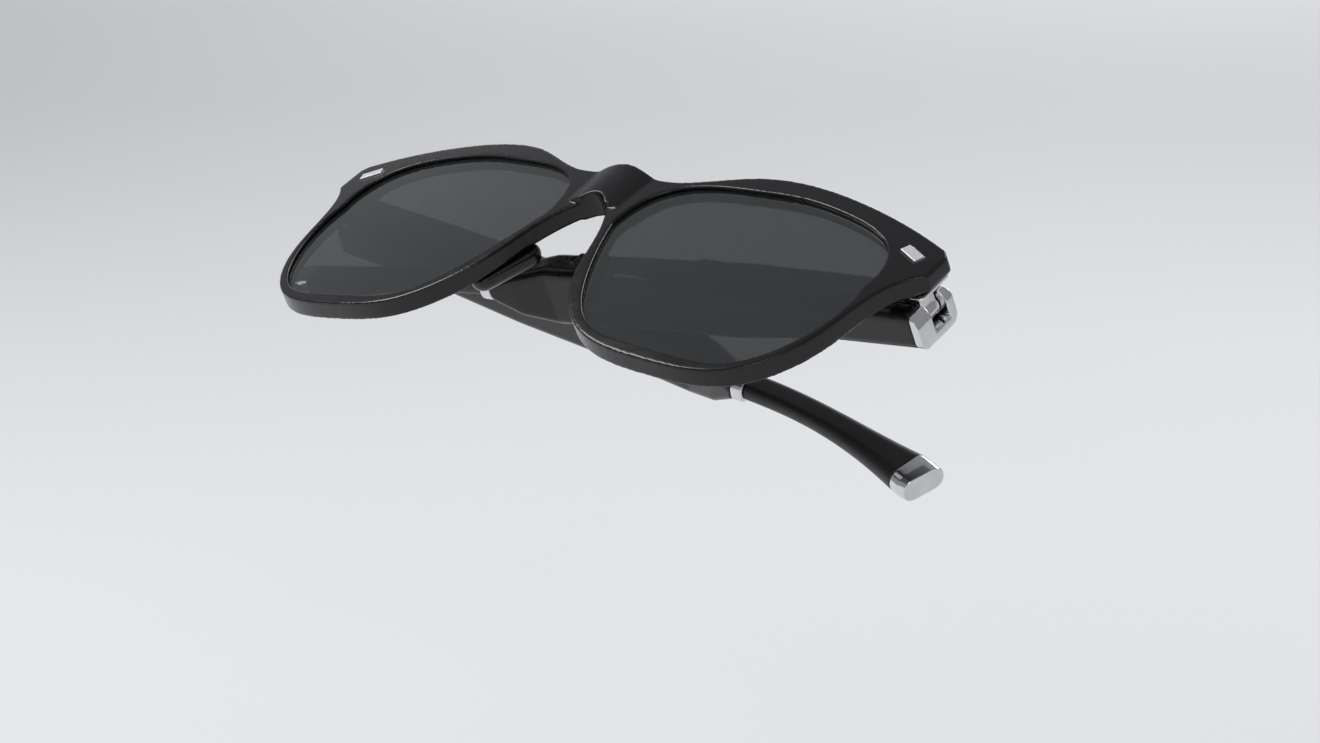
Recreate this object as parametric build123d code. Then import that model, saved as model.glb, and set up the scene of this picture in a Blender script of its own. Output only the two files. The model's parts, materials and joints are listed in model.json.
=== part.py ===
"""Smart glasses: curved front, two electronic temples on canted hinges, sprung buttons.

Millimetres. Modelled as worn: X across, Y towards the ears, Z up; the origin is the
middle of the front at lens-centre height. Every solid is then folded and leaned into
its resting place by fold() and place().
"""
import os
from math import atan, cos, degrees, radians, sin

from build123d import *

os.makedirs("parts", exist_ok=True)

# resting attitude: the nose saddle is the origin, the front leans back
LEAN = 63.4
SADDLE_Y = 2.0
SADDLE_Z = 6.0

# front
WRAP_R = 345.0
WRAP_SPAN = 28.0
FACE_R = 310.0
RIM_T = 3.6
FRONT_HALF = 70.0
LENS_T = 1.8
LENS_W = 54.0
LENS_H = 44.0
LENS_X = 35.1
LENS_Z = -5.1
LENS_DEPTH = 0.9
GROOVE = 0.6
BRIDGE_TOP = 15.0
ARCH_TOP = 6.0
BULGE = 1.4
BULGE_R = 12.6
RIVET_PROUD = 0.25
RIVET_DEEP = 2.2
RIVET_AT = (64.6, 6.4, 11.0)
RIVET_SIZE = (4.4, 1.9)
RIVET_TILT = 24
END_X = 62.8
END_Z = 4.0
END_BACK = 10.6
PLATE_T = 0.7
PLATE_W = 6.2
PLATE_H = 8.4
PLATE_Z = 8.8
PLATE_R = 1.0
PAD_R = 2.4
PAD_L = 9.0
PAD_AT = (10.8, 5.0, -10.5)
PAD_TILT = 26
PLATE_SCREW_Z = (5.5, 12.1)
PLATE_SCREW_R = 0.6
PLATE_SCREW_L = 1.8

# hinge
HINGE_X = 66.6
HINGE_Y = 15.1
HINGE_Z = 7.4
KNUCKLE_R = 2.0
KNUCKLE_H = 4.0
TURN_R = 3.5
SLOT_H = 4.4
PIN_R = 0.8
PIN_CLEAR = 0.05
PIN_LEN = 7.4
RISE_LEFT = 0.08
DROOP_RIGHT = 0.02
FOLD_LEFT = 77.0
FOLD_RIGHT = 90.2

# temple
CAP_FRONT = -3.4
CAP_BACK = -1.9
LUG_END = 7.0
LUG_X = (-2.2, 2.8)
LUG_Z = (2.4, 10.3)
INNER = -3.4
OUTER = 4.0
Z_LOW = 1.0
Z_TOP = 11.6
WALL = 1.2
CORNER_R = 1.8
COVER_T = 1.0
COVER_GAP = 0.05
CAVITY_FROM = 9.0
CAVITY_STEP = 48.0
CAVITY_TO = 73.0
POCKET_TOP = 8.6
POD_TOP = 4.7
POD_FLOOR = 0.3
ARM_END = 88.5
RING_END = 91.0
RING_W = 3.8
RING_H = 5.6
HOOK_Z = -2.7
TIP_FROM = 127.5
TIP_TO = 131.5
TIP_SLANT = 27.0
WIRE_R = 0.55
TIP_DROP = 7.8
TIP_W = 4.9
TIP_H = 8.4

# screws and contacts of the inner cover
SCREW_S = (14.0, 68.0)
POD_SCREW_Z = 3.0
PIN_S = (56.0, 60.0)
CONTACT_Z = 3.6
CONTACT_R = 0.8

# what the arm holds: from and to along the arm, across it and up it
BATTERY = (50, 71, -1.8, 3.8, 1.5, 4.5)
BOARD = (12, 47, 1.2, 2.0, 2.6, 7.8)
CHIP_LARGE = (17, 23, 0.2, 1.2, 3.4, 7.4)
CHIP_SMALL = (25, 29, 0.4, 1.2, 4.4, 7.4)
SPEAKER = (29, 37, -1.9, 0.4, 3.2, 6.4)
MICROPHONE = (38.5, 41.5, -0.4, 1.2, 3.0, 5.6)
ANTENNA = (12, 23, -1.6, 0.8, 8.2, 8.5)

# button
BUTTON_S = 28.0
BUTTON_L = 8.0
BUTTON_W = 2.6
BUTTON_GAP = 0.12
BUTTON_PROUD = 0.5
FLANGE = 0.45

# speaker slot
GRILLE_S = 33.0
GRILLE_L = 9.0
GRILLE_W = 1.6
GRILLE_R = 11.0

SIDES = {"left": -1, "right": 1}


def arm_stations():
    """Arm sections: distance behind the hinge, inner and outer face, low and high edge."""
    return [
        (CAP_BACK, INNER, OUTER, Z_LOW, Z_TOP),
        (18.0, INNER, OUTER + 0.6, Z_LOW - 0.4, Z_TOP - 0.3),
        (38.0, INNER - 0.2, OUTER + 3.0, Z_LOW - 0.9, Z_TOP - 1.4),
        (60.0, INNER - 0.6, OUTER + 3.6, Z_LOW - 2.0, Z_TOP - 4.6),
        (77.0, INNER - 0.9, OUTER + 3.8, Z_LOW - 3.6, Z_TOP - 7.4),
        (83.5, INNER + 0.1, OUTER + 1.6, Z_LOW - 5.6, Z_TOP - 9.4),
        (ARM_END, -RING_W / 2 - 0.3, RING_W / 2 + 0.3, HOOK_Z - 3.1, HOOK_Z + 3.1),
    ]


def at(s):
    """Arm section at any distance, straight between the stations."""
    rows = arm_stations()
    for a, b in zip(rows, rows[1:]):
        if s <= b[0]:
            f = (s - a[0]) / (b[0] - a[0])
            return tuple(u + (v - u) * f for u, v in zip(a, b))
    return rows[-1]


def section(side, s, x_in, x_out, z_low, z_top, r):
    """Rounded rectangle across the temple, s behind the hinge."""
    x = side * (HINGE_X + (x_in + x_out) / 2)
    frame = Plane(origin=(x, HINGE_Y + s, (z_low + z_top) / 2), x_dir=(1, 0, 0), z_dir=(0, 1, 0))
    width = x_out - x_in
    height = z_top - z_low
    return frame * RectangleRounded(width, height, r)


def box(side, s0, s1, x0, x1, z0, z1):
    """Box in temple coordinates: distance behind the hinge, outward offset, height."""
    centre = (side * (HINGE_X + (x0 + x1) / 2), HINGE_Y + (s0 + s1) / 2, (z0 + z1) / 2)
    return Pos(*centre) * Box(x1 - x0, s1 - s0, z1 - z0)


def cant(side):
    """Lean of the hinge pin in degrees; its top leans towards -X on both sides."""
    if side > 0:
        return degrees(atan(DROOP_RIGHT / sin(radians(FOLD_RIGHT))))
    return degrees(atan(RISE_LEFT / sin(radians(FOLD_LEFT))))


def hinge_frame(side):
    d = radians(cant(side))
    centre = (side * HINGE_X, HINGE_Y, HINGE_Z)
    return Plane(origin=centre, x_dir=(cos(d), 0, sin(d)), z_dir=(-sin(d), 0, cos(d)))


def fold(shape, side):
    """Swing a temple piece from open to its folded rest."""
    frame = hinge_frame(side)
    angle = FOLD_RIGHT if side > 0 else -FOLD_LEFT
    return shape.rotate(Axis(frame.origin, frame.z_dir), angle)


def place(shape):
    return Rot(-LEAN, 0, 0) * (Pos(0, -SADDLE_Y, -SADDLE_Z) * shape)


def save(name, shape):
    export_step(place(shape), f"parts/{name}.step")


# ---- front ----------------------------------------------------------------


def sided(side, points):
    """The right-hand points, or their mirror image."""
    return [(side * x, z) for x, z in points]


def front_outline():
    """Outline of the whole front: brow, end faces, then under the rims and over the nose."""
    brow = [(0, BRIDGE_TOP), (8.6, 13.9), (25.8, 19.8), (37.2, 21.2), (48.7, 19.9), (60.0, 17.3), (68.8, 14.4)]
    rim = [
        (FRONT_HALF, 7.0), (65.6, 0.5), (62.1, -14.4), (52.8, -27.0), (37.2, -29.9),
        (21.5, -27.1), (11.0, -15.2), (5.7, 0), (0, ARCH_TOP),
    ]
    top = Spline(sided(-1, brow[:0:-1]) + brow)
    under = Spline(rim + sided(-1, rim[-2::-1]))
    ends = [Polyline((top @ k), (s * FRONT_HALF, 13.0), (s * FRONT_HALF, 7.0)) for k, s in ((0, -1), (1, 1))]
    return make_face([top, under] + ends)


def lens_outline(side, grow=0.0):
    """Lens opening as an upper and a lower curve, optionally grown outwards."""
    upper = [(62.1, 0), (58.1, 12.1), (46.5, 16.2), (37.2, 17.0), (27.9, 16.1), (14.5, 13.1), (8.0, 0)]
    lower = [(8.0, 0), (13.3, -13.8), (22.6, -25.3), (37.2, -27.2), (51.9, -25.4), (60.8, -13.6), (62.1, 0)]
    wide = 1 + 2 * grow / LENS_W
    high = 1 + 2 * grow / LENS_H
    grown = [
        sided(side, [(LENS_X + (x - LENS_X) * wide, LENS_Z + (z - LENS_Z) * high) for x, z in half])
        for half in (upper, lower)
    ]
    return make_face([Spline(half) for half in grown])


def through(face, y0=-8.0, y1=30.0):
    """Push an X-Z outline through from y0 to y1."""
    upright = Plane(origin=(0, y0, 0), x_dir=(1, 0, 0), z_dir=(0, -1, 0))
    return extrude(upright * face, amount=y1 - y0, dir=(0, 1, 0))


def behind(depth):
    """Solid behind the front's curved surface, set back by depth."""
    heights = [-44.0, -22.0, 0.0, 22.0, 44.0]
    face_line = Spline([(z * z / (2 * FACE_R) + depth, z) for z in heights])
    back = Polyline(face_line @ 1, (60.0, heights[-1]), (60.0, heights[0]), face_line @ 0)
    upright = Plane(origin=(0, 0, 0), x_dir=(0, 1, 0), z_dir=(1, 0, 0))
    profile = upright * make_face([face_line, back])
    pin = Axis((0, WRAP_R, 0), (0, 0, 1))
    return revolve(profile.rotate(pin, -WRAP_SPAN / 2), axis=pin, revolution_arc=WRAP_SPAN)


def wrapped(face, depth, thick):
    return (through(face) & behind(depth)) - behind(depth + thick)


def front_frame():
    outline = front_outline()
    frame = wrapped(outline, 0, RIM_T)
    bulge = Pos(0, BULGE_R - BULGE, 0) * Cylinder(BULGE_R, 60)
    nose = Pos(0, 1.0, 12.0) * Box(20.0, 6.0, 16.0)
    frame += through(outline) & bulge & nose
    reach = FRONT_HALF + 1 - END_X
    for side in SIDES.values():
        region = Pos(side * (END_X + reach / 2), END_BACK / 2 + 1, END_Z + 10) * Box(reach, END_BACK - 2, 20)
        frame += through(outline) & behind(0) & region
        frame -= Pos(side * (END_X + reach / 2), END_BACK + 5, END_Z + 10) * Box(reach, 10, 40)
        frame -= through(lens_outline(side))
        frame -= wrapped(lens_outline(side, GROOVE), LENS_DEPTH, LENS_T)
        frame -= rivet(side)
    return frame - plate_screws()


def lens(side):
    return wrapped(lens_outline(side, GROOVE), LENS_DEPTH, LENS_T)


def rivet(side):
    """Slanted bar rivet on the end piece."""
    outline = Plane.XZ * Rectangle(*RIVET_SIZE)
    x, y, z = RIVET_AT
    bar = Pos(side * x, y, z) * (Rot(0, side * RIVET_TILT, 0) * extrude(outline, amount=3.0, both=True))
    return bar & behind(-RIVET_PROUD) - behind(RIVET_DEEP)


def rivets():
    return rivet(1) + rivet(-1)


def nose_pad(side):
    """Bonded pad behind the rim beside the nose arch."""
    long = Cylinder(PAD_R, PAD_L)
    pad = long + Pos(0, 0, PAD_L / 2) * Sphere(PAD_R) + Pos(0, 0, -PAD_L / 2) * Sphere(PAD_R)
    x, y, z = PAD_AT
    placed = Pos(side * x, y, z) * (Rot(0, side * -PAD_TILT, 0) * pad)
    return placed & behind(RIM_T)


def end_plate(side):
    """Plate on the end piece's back, with the middle knuckle."""
    y0 = END_BACK
    plate = Pos(side * (HINGE_X - 0.1), y0 + PLATE_T / 2, PLATE_Z) * Box(PLATE_W, PLATE_T, PLATE_H)
    plate = fillet(plate.edges().filter_by(Axis.Y), PLATE_R)
    frame = hinge_frame(side)
    reach = HINGE_Y - y0 - 0.2
    tongue = frame * (Pos(0, -reach / 2, 0) * Box(3.0, reach, KNUCKLE_H))
    barrel = frame * Cylinder(KNUCKLE_R, KNUCKLE_H)
    body = plate + tongue + barrel
    body -= frame * Cylinder(PIN_R, 20)
    return body - plate_screws()


def plate_screws():
    """Small screws that hold the two plates."""
    screws = None
    for side in SIDES.values():
        for z in PLATE_SCREW_Z:
            shank = Pos(side * HINGE_X, END_BACK, z) * (Rot(90, 0, 0) * Cylinder(PLATE_SCREW_R, PLATE_SCREW_L))
            screws = shank if screws is None else screws + shank
    return screws


def hinge_screw(side):
    frame = hinge_frame(side)
    pin = frame * Cylinder(PIN_R, PIN_LEN)
    slot = frame * (Pos(0, 0, -PIN_LEN / 2) * Box(1.6, 0.3, 0.5))
    return pin - slot


# ---- temple ---------------------------------------------------------------


def arm_blank(side):
    rows = arm_stations()
    return loft([section(side, *row, CORNER_R) for row in rows], ruled=True)


def hollow(side, x_high_front, x_high_pod):
    """Room inside the arm in two steps, open through the inner face."""
    front = box(side, CAVITY_FROM, CAVITY_STEP, INNER - 4.0, x_high_front, Z_LOW + WALL, POCKET_TOP)
    pod = box(side, CAVITY_STEP, CAVITY_TO, INNER - 4.0, x_high_pod, Z_LOW + POD_FLOOR, POD_TOP)
    return front + pod


def core_path(side):
    x = side * HINGE_X
    points = [(86.0, HOOK_Z), (91.0, HOOK_Z), (101.0, HOOK_Z - 1.0), (111.0, HOOK_Z - 3.0), (122.0, HOOK_Z - 6.2)]
    return Spline([(x, HINGE_Y + s, z) for s, z in points])


def core_wire(side):
    path = core_path(side)
    return sweep(Plane(path @ 0, z_dir=path % 0) * Circle(WIRE_R), path=path)


def button_column(side, grow, z0, z1):
    x = side * (HINGE_X + 0.3)
    centre = (x, HINGE_Y + BUTTON_S, (z0 + z1) / 2)
    plan = RectangleRounded(BUTTON_W + 2 * grow, BUTTON_L + 2 * grow, BUTTON_W / 2 + grow - 0.05)
    return Pos(centre[0], centre[1], z0) * extrude(plan, amount=z1 - z0)


def grille_outline(side, z0, z1):
    """Curved slot in the arm's underside."""
    centre = Pos(side * (HINGE_X + 0.4 + GRILLE_R), HINGE_Y + GRILLE_S, (z0 + z1) / 2)
    band = Cylinder(GRILLE_R + GRILLE_W / 2, z1 - z0) - Cylinder(GRILLE_R - GRILLE_W / 2, z1 - z0)
    near = Pos(-side * GRILLE_R, 0, 0) * Box(6.0, GRILLE_L, z1 - z0)
    return centre * (band & near)


def contact_pins(side, r, x0, x1):
    out = None
    for s in PIN_S:
        x = side * (HINGE_X + (x0 + x1) / 2)
        pin = Pos(x, HINGE_Y + s, CONTACT_Z) * (Rot(0, 90, 0) * Cylinder(r, x1 - x0))
        out = pin if out is None else out + pin
    return out


def screw_set(side):
    """Two countersunk-style screws through the inner cover."""
    out = None
    for s in SCREW_S:
        _, x_in, _, low, top = at(s)
        z = POD_SCREW_Z if s > CAVITY_STEP else (low + top) / 2
        head = Pos(side * (HINGE_X + x_in + 0.35), HINGE_Y + s, z) * (Rot(0, 90, 0) * Cylinder(1.0, 0.7))
        shank = Pos(side * (HINGE_X + x_in + 1.2), HINGE_Y + s, z) * (Rot(0, 90, 0) * Cylinder(0.5, 2.0))
        one = head + shank
        out = one if out is None else out + one
    return out


def hinge_room(side):
    """Corner turned round about the pin, and the slot that the front's knuckle swings in."""
    frame = hinge_frame(side)
    corner = box(side, CAP_FRONT - 1, 0, INNER - 1, 0, -2, 14) - frame * Cylinder(TURN_R, 30)
    slot = frame * (Pos(side * -2.8, -2.8, 0) * Box(10.4, 10.4, SLOT_H))
    return corner, slot, frame * Cylinder(PIN_R + PIN_CLEAR, PIN_LEN + 0.6)


def lug_block(side):
    return box(side, CAP_BACK, LUG_END, *LUG_X, *LUG_Z)


def shell(side):
    body = arm_blank(side) - hollow(side, OUTER - WALL, OUTER)
    for room in hinge_room(side):
        body -= room
    body -= lug_block(side)
    top = at(BUTTON_S)[4]
    body -= button_column(side, BUTTON_GAP, 8.0, top + 2)
    body -= button_column(side, FLANGE + 0.15, 8.0, top - WALL - 0.5)
    body -= grille_outline(side, -1.0, 3.0)
    return body - core_wire(side)


def cover_plate(side, stations, z_low, z_top):
    rows = [(s, at(s)[1], at(s)[1] + COVER_T, z_low, z_top) for s in stations]
    return loft([section(side, *row, 0.4) for row in rows], ruled=True)


def cover(side):
    gap = COVER_GAP
    front = (CAVITY_FROM + gap, 20.0, 45.0, CAVITY_STEP - gap)
    pod = (CAVITY_STEP - 1.0, 65.0, CAVITY_TO - gap)
    plate = cover_plate(side, front, Z_LOW + WALL + gap, POCKET_TOP - gap)
    plate += cover_plate(side, pod, Z_LOW + POD_FLOOR + gap, POD_TOP - gap) & box(
        side, CAVITY_STEP + gap - 0.2, CAVITY_TO, INNER - 4, OUTER, 0, 8)
    plate -= contact_pins(side, CONTACT_R, INNER - 2.0, INNER + 3.0)
    return plate - screw_set(side)


def end_cap(side):
    """Bright plate on the arm's hinge end, with the block that carries the outer knuckles."""
    face = section(side, CAP_FRONT, INNER, OUTER, Z_LOW, Z_TOP, CORNER_R)
    solid = extrude(face, amount=CAP_BACK - CAP_FRONT, dir=(0, 1, 0)) + lug_block(side)
    for room in hinge_room(side):
        solid -= room
    return solid


def battery(side):
    return box(side, *BATTERY)


def circuit_board(side):
    board = box(side, *BOARD)
    chips = box(side, *CHIP_LARGE) + box(side, *CHIP_SMALL)
    return board + chips


def speaker(side):
    return box(side, *SPEAKER)


def microphone(side):
    return box(side, *MICROPHONE)


def antenna(side):
    return box(side, *ANTENNA)


def grille(side):
    low = at(GRILLE_S)[3]
    return grille_outline(side, low + 0.25, low + WALL + 0.6)


def ring(side):
    x = side * HINGE_X
    a = Plane(origin=(x, HINGE_Y + ARM_END, HOOK_Z), x_dir=(1, 0, 0), z_dir=(0, 1, 0))
    solid = extrude(a * RectangleRounded(RING_W + 0.5, RING_H + 0.5, 1.7), amount=RING_END - ARM_END)
    solid = fillet(solid.edges().group_by(Axis.Y)[0] + solid.edges().group_by(Axis.Y)[-1], 0.4)
    return solid - core_wire(side)


def hook_section(side, s, z, w, h, tilt=0.0):
    frame = Plane(origin=(side * HINGE_X, HINGE_Y + s, z), x_dir=(1, 0, 0),
                  z_dir=(0, cos(radians(tilt)), -sin(radians(tilt))))
    return frame * RectangleRounded(w, h, 0.46 * w)


def temple_tip(side):
    rows = [
        (RING_END, HOOK_Z, 3.4, 5.2, 0), (101.0, HOOK_Z - 1.0, 3.4, 5.2, 9), (111.0, HOOK_Z - 3.0, 3.6, 5.5, 14),
        (120.0, HOOK_Z - 5.5, 4.1, 6.6, 17), (TIP_FROM, HOOK_Z - TIP_DROP, TIP_W, TIP_H, 20),
    ]
    return loft([hook_section(side, *row) for row in rows]) - core_wire(side)


def tip_cap(side):
    z = HOOK_Z - TIP_DROP
    a = hook_section(side, TIP_FROM, z, TIP_W, TIP_H, 20)
    b = hook_section(side, TIP_FROM + 2.2, z - 0.85, 5.0, 8.6, 23)
    c = hook_section(side, TIP_TO, z - 1.4, 4.6, 8.2, TIP_SLANT)
    return loft([a, b, c], ruled=True)


def button(side):
    top = at(BUTTON_S)[4]
    cap = button_column(side, 0.0, top - WALL - 0.6, top + BUTTON_PROUD)
    cap = fillet(cap.edges().group_by(Axis.Z)[-1], 0.35)
    flange = button_column(side, FLANGE, top - WALL - 1.1, top - WALL - 0.55)
    return cap + flange


def main():
    save("front_frame", front_frame())
    save("rivets", rivets())
    save("plate_screws", plate_screws())
    for name, side in SIDES.items():
        save(f"lens_{name}", lens(side))
        save(f"nose_pad_{name}", nose_pad(side))
        save(f"end_plate_{name}", end_plate(side))
        save(f"hinge_screw_{name}", hinge_screw(side))
        pieces = {
            "temple_shell": shell(side), "temple_cover": cover(side), "end_cap": end_cap(side),
            "battery": battery(side), "circuit_board": circuit_board(side), "speaker": speaker(side),
            "microphone": microphone(side), "antenna": antenna(side), "speaker_grille": grille(side),
            "charging_pins": contact_pins(side, CONTACT_R, INNER - 0.9, INNER + 0.7), "cover_screws": screw_set(side),
            "collar_ring": ring(side), "core_wire": core_wire(side), "temple_tip": temple_tip(side),
            "tip_cap": tip_cap(side), "button": button(side),
        }
        for piece, shape in pieces.items():
            save(f"{piece}_{name}", fold(shape, side))


main()
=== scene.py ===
"""Smart glasses: softened pieces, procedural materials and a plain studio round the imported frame."""
import json

import bpy
from mathutils import Matrix, Vector

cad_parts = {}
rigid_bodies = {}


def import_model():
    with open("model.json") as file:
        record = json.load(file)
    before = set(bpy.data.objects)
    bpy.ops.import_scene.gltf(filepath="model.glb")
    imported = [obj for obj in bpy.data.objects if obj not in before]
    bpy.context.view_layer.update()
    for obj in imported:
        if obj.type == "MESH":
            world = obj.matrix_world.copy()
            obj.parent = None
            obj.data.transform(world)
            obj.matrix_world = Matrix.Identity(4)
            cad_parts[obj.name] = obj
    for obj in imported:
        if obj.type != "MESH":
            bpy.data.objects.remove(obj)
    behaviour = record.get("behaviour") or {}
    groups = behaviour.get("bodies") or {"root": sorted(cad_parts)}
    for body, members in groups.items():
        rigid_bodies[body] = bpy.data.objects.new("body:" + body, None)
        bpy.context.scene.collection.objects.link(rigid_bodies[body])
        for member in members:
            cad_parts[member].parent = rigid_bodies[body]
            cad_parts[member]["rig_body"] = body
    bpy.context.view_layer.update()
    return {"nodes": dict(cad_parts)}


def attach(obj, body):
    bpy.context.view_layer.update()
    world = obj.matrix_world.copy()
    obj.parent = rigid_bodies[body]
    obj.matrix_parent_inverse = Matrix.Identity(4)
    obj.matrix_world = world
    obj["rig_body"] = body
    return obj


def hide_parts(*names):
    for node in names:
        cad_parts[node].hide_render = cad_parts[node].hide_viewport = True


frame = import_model()


NODES = frame["nodes"]
SIDES = ("left", "right")
MM = 0.001


# ---- materials ------------------------------------------------------------


def graph(name):
    """New material with its shader, and a helper that adds a node and links sockets."""
    mat = bpy.data.materials.new(name)
    mat.use_nodes = True
    tree = mat.node_tree
    shader = tree.nodes["Principled BSDF"]

    def add(kind, inputs=None, **settings):
        node = tree.nodes.new(kind)
        for key, value in settings.items():
            setattr(node, key, value)
        for key, value in (inputs or {}).items():
            if hasattr(value, "is_output"):
                tree.links.new(value, node.inputs[key])
            else:
                node.inputs[key].default_value = value
        return node

    return mat, tree, shader, add


def noise(add, scale, detail=3.0, rough=0.55, stretch=(1, 1, 1)):
    """Noise in object space; scale counts features in a metre."""
    place = add("ShaderNodeTexCoord").outputs["Object"]
    mapped = add("ShaderNodeMapping", {"Vector": place, "Scale": stretch})
    return add("ShaderNodeTexNoise", {
        "Vector": mapped.outputs["Vector"], "Scale": scale, "Detail": detail, "Roughness": rough,
    }).outputs["Fac"]


def ramp(add, factor, low, high, start=0.3, end=0.7):
    """Maps a factor to a range of plain numbers."""
    return add("ShaderNodeMapRange", {
        "Value": factor, "From Min": start, "From Max": end, "To Min": low, "To Max": high,
    }).outputs["Result"]


def blend(add, factor, dark, light):
    mix = add("ShaderNodeMix", data_type="RGBA")
    links = mix.id_data.links
    links.new(factor, mix.inputs[0])
    mix.inputs[6].default_value = (*dark, 1)
    mix.inputs[7].default_value = (*light, 1)
    return mix.outputs[2]


def bump(add, height, distance, strength=1.0, normal=None):
    inputs = {"Height": height, "Distance": distance, "Strength": strength}
    if normal is not None:
        inputs["Normal"] = normal
    return add("ShaderNodeBump", inputs).outputs["Normal"]


def acetate():
    """Hand-polished black acetate: soft orange peel, faint cloudiness, finger smears."""
    mat, tree, shader, add = graph("black_acetate")
    cloud = noise(add, 90, 4)
    smear = noise(add, 160, 5, 0.7, (1, 2.6, 1))
    colour = blend(add, cloud, (0.0018, 0.0018, 0.0021), (0.0045, 0.0044, 0.0048))
    tree.links.new(colour, shader.inputs["Base Color"])
    tree.links.new(ramp(add, smear, 0.18, 0.30), shader.inputs["Roughness"])
    peel = bump(add, noise(add, 900, 2), 0.00002, 0.35)
    tree.links.new(bump(add, noise(add, 9000, 2), 0.000004, 0.4, peel), shader.inputs["Normal"])
    shader.inputs["Specular IOR Level"].default_value = 0.36
    shader.inputs["Coat Weight"].default_value = 0.2
    shader.inputs["Coat Roughness"].default_value = 0.12
    return mat


def satin(name, dark, light, rough, grain):
    """Moulded satin plastic or soft-touch rubber with a fine spark-eroded grain."""
    mat, tree, shader, add = graph(name)
    tree.links.new(blend(add, noise(add, 140, 4), dark, light), shader.inputs["Base Color"])
    tree.links.new(ramp(add, noise(add, 420, 4), rough - 0.06, rough + 0.08), shader.inputs["Roughness"])
    tree.links.new(bump(add, noise(add, grain, 3, 0.6), 0.00002, 0.5), shader.inputs["Normal"])
    return mat


def metal(name, dark, light, rough, brush=(1, 1, 1)):
    """Plated metal with hairline polish marks."""
    mat, tree, shader, add = graph(name)
    shader.inputs["Metallic"].default_value = 1.0
    tree.links.new(blend(add, noise(add, 260, 4), dark, light), shader.inputs["Base Color"])
    lines = noise(add, 2600, 3, 0.6, brush)
    tree.links.new(ramp(add, lines, rough * 0.7, rough * 1.5), shader.inputs["Roughness"])
    tree.links.new(bump(add, lines, 0.000005, 0.35), shader.inputs["Normal"])
    return mat


def dark_lens():
    """Neutral grey tinted lens. Its alpha counts twice, as light crosses both faces."""
    mat, tree, shader, add = graph("tinted_lens")
    tint = noise(add, 25, 2)
    colour = blend(add, tint, (0.016, 0.018, 0.0185), (0.021, 0.0235, 0.0235))
    tree.links.new(colour, shader.inputs["Base Color"])
    tree.links.new(ramp(add, noise(add, 300, 5, 0.7), 0.02, 0.05), shader.inputs["Roughness"])
    shader.inputs["Alpha"].default_value = 0.79
    shader.inputs["Specular IOR Level"].default_value = 0.7
    shader.inputs["Coat Weight"].default_value = 0.6
    shader.inputs["Coat Roughness"].default_value = 0.02
    return mat


def board():
    """Green solder mask over faint tracks."""
    mat, tree, shader, add = graph("solder_mask")
    tracks = add("ShaderNodeTexBrick", {
        "Vector": add("ShaderNodeTexCoord").outputs["Object"], "Scale": 400.0, "Mortar Size": 0.04,
    }).outputs["Fac"]
    colour = blend(add, tracks, (0.008, 0.075, 0.03), (0.03, 0.17, 0.07))
    tree.links.new(colour, shader.inputs["Base Color"])
    tree.links.new(ramp(add, noise(add, 500), 0.25, 0.4), shader.inputs["Roughness"])
    tree.links.new(bump(add, tracks, 0.00004, 0.5), shader.inputs["Normal"])
    return mat


ACETATE = acetate()
LENS = dark_lens()
BRIGHT = metal("bright_nickel", (0.62, 0.62, 0.63), (0.86, 0.86, 0.87), 0.14, (1, 5, 1))
RIVET = metal("brushed_silver", (0.88, 0.88, 0.88), (0.98, 0.98, 0.98), 0.42, (6, 1, 1))
GOLD = metal("gold_plate", (0.72, 0.50, 0.20), (0.92, 0.70, 0.34), 0.2)
COPPER = metal("copper_strip", (0.55, 0.24, 0.12), (0.75, 0.38, 0.22), 0.3)
FOIL = metal("cell_foil", (0.45, 0.47, 0.49), (0.65, 0.67, 0.69), 0.42, (4, 1, 1))
PLASTIC = satin("black_moulding", (0.004, 0.004, 0.0045), (0.009, 0.009, 0.0095), 0.36, 4200)
RUBBER = satin("soft_tip", (0.006, 0.006, 0.0065), (0.013, 0.013, 0.0135), 0.40, 5200)
BOARD = board()

MATERIALS = {
    "front_frame": ACETATE, "nose_pad": ACETATE, "temple_shell": ACETATE,
    "temple_cover": PLASTIC, "button": PLASTIC, "speaker": PLASTIC, "speaker_grille": PLASTIC,
    "plate_screws": BRIGHT, "end_plate": BRIGHT, "hinge_screw": BRIGHT, "end_cap": BRIGHT,
    "collar_ring": BRIGHT, "tip_cap": BRIGHT, "core_wire": BRIGHT, "cover_screws": BRIGHT,
    "microphone": BRIGHT, "lens": LENS, "rivets": RIVET, "temple_tip": RUBBER, "battery": FOIL,
    "circuit_board": BOARD, "antenna": COPPER, "charging_pins": GOLD,
}


def family(node):
    stem, _, tail = node.rpartition("_")
    return stem if tail in SIDES else node


def dress(obj, mat):
    obj.data.materials.clear()
    obj.data.materials.append(mat)


for node_name, node in NODES.items():
    dress(node, MATERIALS[family(node_name)])
    node.data.shade_smooth()


# ---- softened pieces ------------------------------------------------------

# voxel in millimetres and smoothing passes: together they set how round the edges get
SOFT = {
    "front_frame": (0.18, 24), "nose_pad": (0.25, 6), "temple_shell": (0.2, 16),
    "temple_cover": (0.2, 4), "temple_tip": (0.2, 8), "end_cap": (0.12, 7),
    "end_plate": (0.14, 4), "collar_ring": (0.13, 4), "tip_cap": (0.13, 9),
    "rivets": (0.07, 2), "button": (0.13, 4),
}
WELD_GAP = 0.001 * MM
SMOOTH_STEP = 0.5


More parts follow.
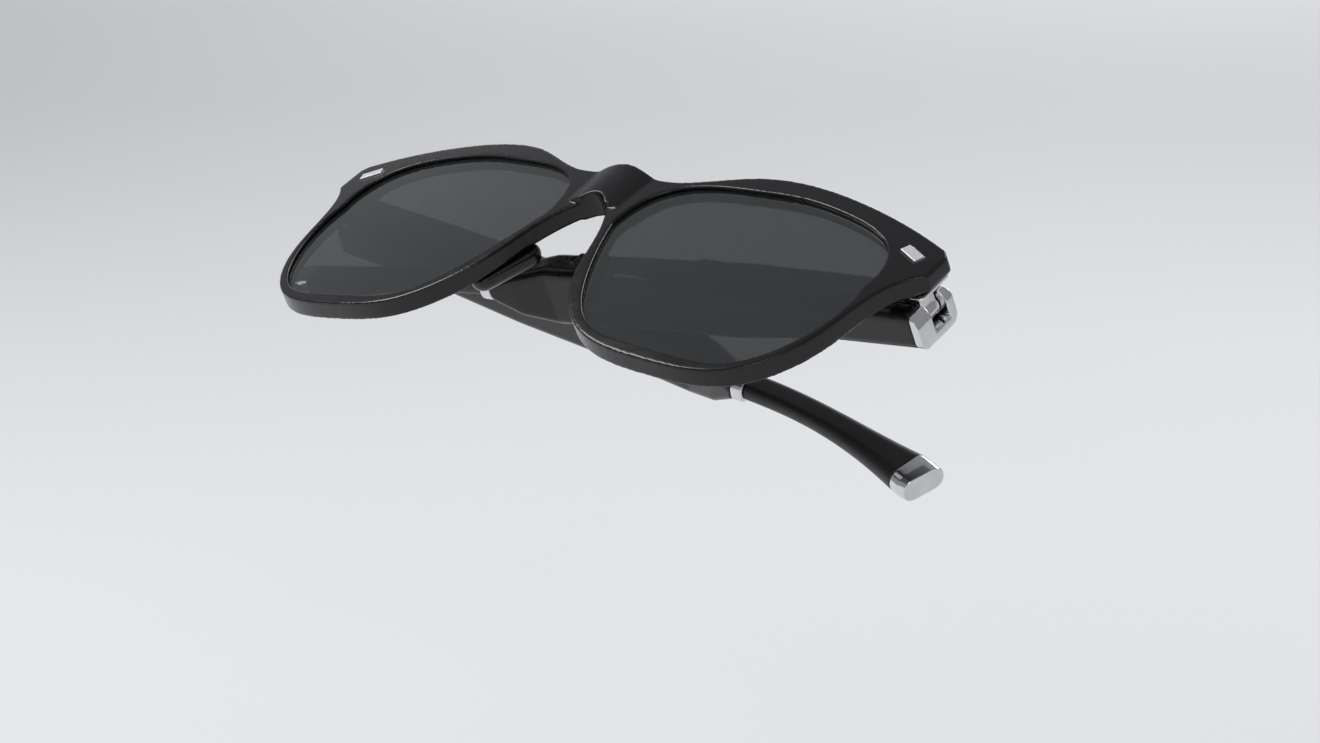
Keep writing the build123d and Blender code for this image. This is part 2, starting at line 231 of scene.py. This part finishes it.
def soften(node_name, voxel, passes):
    """Copy of a CAD solid with its edges rolled over, riding where the solid rides."""
    source = NODES[node_name]
    mesh = source.data.copy()
    piece = bpy.data.objects.new("soft_" + node_name, mesh)
    bpy.context.scene.collection.objects.link(piece)
    weld = piece.modifiers.new("weld", "WELD")
    weld.merge_threshold = WELD_GAP
    remesh = piece.modifiers.new("remesh", "REMESH")
    remesh.mode = "VOXEL"
    remesh.voxel_size = voxel * MM
    remesh.use_smooth_shade = True
    smooth = piece.modifiers.new("smooth", "SMOOTH")
    smooth.factor = SMOOTH_STEP
    smooth.iterations = passes
    graph_now = bpy.context.evaluated_depsgraph_get()
    done = bpy.data.meshes.new_from_object(piece.evaluated_get(graph_now))
    piece.modifiers.clear()
    piece.data = done
    dress(piece, MATERIALS[family(node_name)])
    done.shade_smooth()
    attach(piece, source["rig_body"])
    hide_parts(node_name)


for node_name in sorted(NODES):
    if family(node_name) in SOFT:
        soften(node_name, *SOFT[family(node_name)])


# ---- studio ---------------------------------------------------------------

# the view direction and distance of the photograph
CAMERA_AT = Vector((0.4916, -0.5345, 0.1192))
CAMERA_RIGHT = Vector((0.7454, 0.6666, 0.0))
CAMERA_AHEAD = Vector((-0.6530, 0.7303, -0.2007))
FOCAL = 113.8
# under the tips of the opened temples, which reach far lower than the folded ones
FLOOR_AT = -0.142
FLOOR_HALF = 3.0

WORLD_COLOUR = (0.93, 0.95, 1.0, 1)
WORLD_STRENGTH = 0.30

# name, place, aim, width, height, watts
WASH_AT = (-1.0, 1.7, 0.7)
SOFTBOXES = [
    ("key", (-0.55, -0.35, 0.75), (0, 0, 0), 0.55, 0.45, 6.4),
    ("fill", (0.75, -0.75, 0.35), (0, 0, 0), 0.5, 0.5, 1.6),
    ("back", (0.15, 0.8, 0.55), (0, 0, 0), 0.9, 0.25, 3.2),
    ("floor_wash", WASH_AT, (*WASH_AT[:2], FLOOR_AT), 1.6, 1.2, 8.0),
]


def add_camera():
    data = bpy.data.cameras.new("camera")
    data.lens = FOCAL
    data.clip_start = 0.01
    cam = bpy.data.objects.new("camera", data)
    up = CAMERA_RIGHT.cross(CAMERA_AHEAD)
    turn = Matrix((CAMERA_RIGHT, up, -CAMERA_AHEAD)).transposed().to_4x4()
    cam.matrix_world = Matrix.Translation(CAMERA_AT) @ turn
    bpy.context.scene.collection.objects.link(cam)
    bpy.context.scene.camera = cam


def add_floor(height):
    """Wide pale sweep with a faint texture."""
    corners = [(-1, -1), (1, -1), (1, 1), (-1, 1)]
    mesh = bpy.data.meshes.new("floor")
    mesh.from_pydata(
        [(x * FLOOR_HALF, y * FLOOR_HALF, height) for x, y in corners], [], [(0, 1, 2, 3)])
    floor = bpy.data.objects.new("floor", mesh)
    bpy.context.scene.collection.objects.link(floor)
    mat, tree, shader, add = graph("pale_sweep")
    colour = blend(add, noise(add, 4, 2), (0.80, 0.81, 0.82), (0.84, 0.84, 0.85))
    tree.links.new(colour, shader.inputs["Base Color"])
    shader.inputs["Roughness"].default_value = 0.75
    dress(floor, mat)


def add_softbox(name, at, toward, width, height, power):
    data = bpy.data.lights.new(name, "AREA")
    data.shape = "RECTANGLE"
    data.size = width
    data.size_y = height
    data.energy = power
    lamp = bpy.data.objects.new(name, data)
    lamp.location = at
    lamp.rotation_euler = (Vector(toward) - Vector(at)).to_track_quat("-Z", "Y").to_euler()
    bpy.context.scene.collection.objects.link(lamp)


def add_world():
    world = bpy.data.worlds.new("studio")
    world.use_nodes = True
    shade = world.node_tree.nodes["Background"]
    shade.inputs["Color"].default_value = WORLD_COLOUR
    shade.inputs["Strength"].default_value = WORLD_STRENGTH
    bpy.context.scene.world = world


add_camera()
add_floor(FLOOR_AT)
add_world()
for softbox in SOFTBOXES:
    add_softbox(*softbox)
bpy.context.scene.view_settings.view_transform = "Standard"
